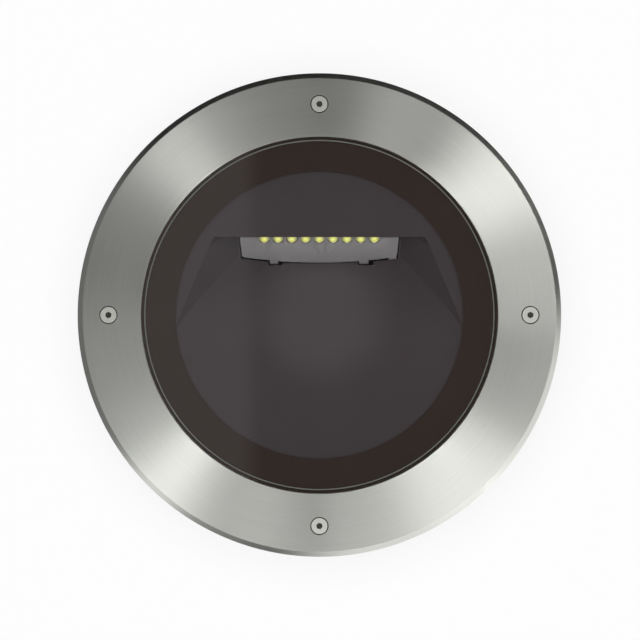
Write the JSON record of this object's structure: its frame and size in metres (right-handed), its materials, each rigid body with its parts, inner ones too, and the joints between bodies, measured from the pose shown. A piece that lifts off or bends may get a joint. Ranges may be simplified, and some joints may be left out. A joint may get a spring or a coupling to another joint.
{
  "type": "in-ground well light",
  "caption": "Round in-ground well light: brushed steel trim ring, flush clear glass, asymmetric LED optic, finned housing and a two-piece buried sleeve.",
  "frame": {"origin": "middle of the sleeve's flat underside", "axes": "+Z up out of the ground along the light's axis, +Y towards the side where the LED bar sits, +X to the right seen from above with +Y up"},
  "size_m": [0.25, 0.25, 0.2],
  "materials": {
    "stainless_brushed": "circular brushed stainless steel",
    "stainless_fastener": "turned stainless steel",
    "clear_glass": "toughened clear glass, polished",
    "silicone_black": "matt silicone",
    "housing_black": "textured powder coat on die-cast aluminium",
    "sleeve_black": "moulded polypropylene",
    "brass": "turned",
    "nickel_brass": "nickel-plated, turned",
    "driver_white": "moulded polycarbonate",
    "circuit_board": "glass-fibre laminate",
    "connector_black": "moulded polyamide",
    "terminal_cream": "moulded polyamide",
    "zinc_steel": "zinc-plated sheet",
    "wire_brown": "silicone insulation",
    "wire_blue": "silicone insulation",
    "wire_green": "silicone insulation, green and yellow",
    "wire_black": "silicone sheath",
    "acetal_white": "moulded acetal",
    "sheet_aluminium": "rolled sheet",
    "baffle_dark": "moulded, fine matt texture",
    "module_grey": "fine matt grey paint on die-cast aluminium",
    "lens_clear": "clear moulded acrylic",
    "led_phosphor": "yellow phosphor",
    "board_white": "white solder mask on aluminium",
    "pad_grey": "thermal pad",
    "aluminium_anodised": "extruded, dark anodised"
  },
  "bodies": {
    "sleeve": {"sleeve_tube": "sleeve_black", "sleeve_base": "sleeve_black", "sleeve_screws": "stainless_fastener", "brass_inserts": "brass"},
    "housing": {"lamp_housing": "housing_black", "lift_screws": "stainless_fastener", "gland_body": "nickel_brass", "gland_oring": "silicone_black", "gland_seal": "silicone_black", "gland_nut": "nickel_brass", "gland_locknut": "nickel_brass", "vent_plug": "connector_black", "driver_case": "driver_white", "driver_lid": "driver_white", "driver_lid_screws": "stainless_fastener", "driver_mount_screws": "stainless_fastener", "driver_board": "circuit_board", "driver_socket": "connector_black", "terminal_block": "terminal_cream", "terminal_screws": "zinc_steel", "terminal_mount_screws": "zinc_steel", "earth_screw": "brass", "earth_tongue": "nickel_brass", "earth_washer": "brass", "lead_live": "wire_brown", "lead_neutral": "wire_blue", "lead_earth": "wire_green", "glide_ring": "acetal_white", "lock_screws": "stainless_fastener", "lock_washers": "stainless_fastener"},
    "cover": {"trim_ring": "stainless_brushed", "cover_glass": "clear_glass", "glass_gasket": "silicone_black", "screw_orings": "silicone_black"},
    "cover_screw_1_body": {"cover_screw_1": "stainless_fastener"},
    "cover_screw_2_body": {"cover_screw_2": "stainless_fastener"},
    "cover_screw_3_body": {"cover_screw_3": "stainless_fastener"},
    "cover_screw_4_body": {"cover_screw_4": "stainless_fastener"},
    "optic": {"turntable": "sheet_aluminium", "swivel_plug": "connector_black", "module_lead": "wire_black", "baffle_pillars": "zinc_steel", "pillar_screws": "zinc_steel", "baffle": "baffle_dark", "module_bracket": "zinc_steel", "bracket_screws": "zinc_steel", "pivot_screws": "zinc_steel"},
    "led_module": {"module_frame": "module_grey", "lens_strip": "lens_clear", "led_packages": "led_phosphor", "led_board": "board_white", "thermal_pad": "pad_grey", "heat_sink": "aluminium_anodised", "module_screws": "zinc_steel"}
  },
  "joints": [
    {"name": "housing_lift", "type": "slide", "parent": "sleeve", "child": "housing", "axis": [0, 0, 1], "range_m": [0, 0.16]},
    {"name": "cover_lift", "type": "slide", "parent": "housing", "child": "cover", "axis": [0, 0, 1], "range_m": [0, 0.04]},
    {"name": "optic_swivel", "type": "hinge", "parent": "housing", "child": "optic", "pos_m": [0, 0, 0.114], "axis": [0, 0, 1], "range_deg": [-30, 30]},
    {"name": "module_tilt", "type": "hinge", "parent": "optic", "child": "led_module", "pos_m": [0, 0.03087, 0.14453], "axis": [1, 0, 0], "range_deg": [-10, 5]},
    {"name": "cover_screw_1_turn", "type": "hinge", "parent": "cover", "child": "cover_screw_1_body", "pos_m": [0.109, 0, 0.2], "axis": [0, 0, 1], "continuous": true},
    {"name": "cover_screw_2_turn", "type": "hinge", "parent": "cover", "child": "cover_screw_2_body", "pos_m": [0, 0.109, 0.2], "axis": [0, 0, 1], "continuous": true},
    {"name": "cover_screw_3_turn", "type": "hinge", "parent": "cover", "child": "cover_screw_3_body", "pos_m": [-0.109, 0, 0.2], "axis": [0, 0, 1], "continuous": true},
    {"name": "cover_screw_4_turn", "type": "hinge", "parent": "cover", "child": "cover_screw_4_body", "pos_m": [0, -0.109, 0.2], "axis": [0, 0, 1], "continuous": true}
  ]
}
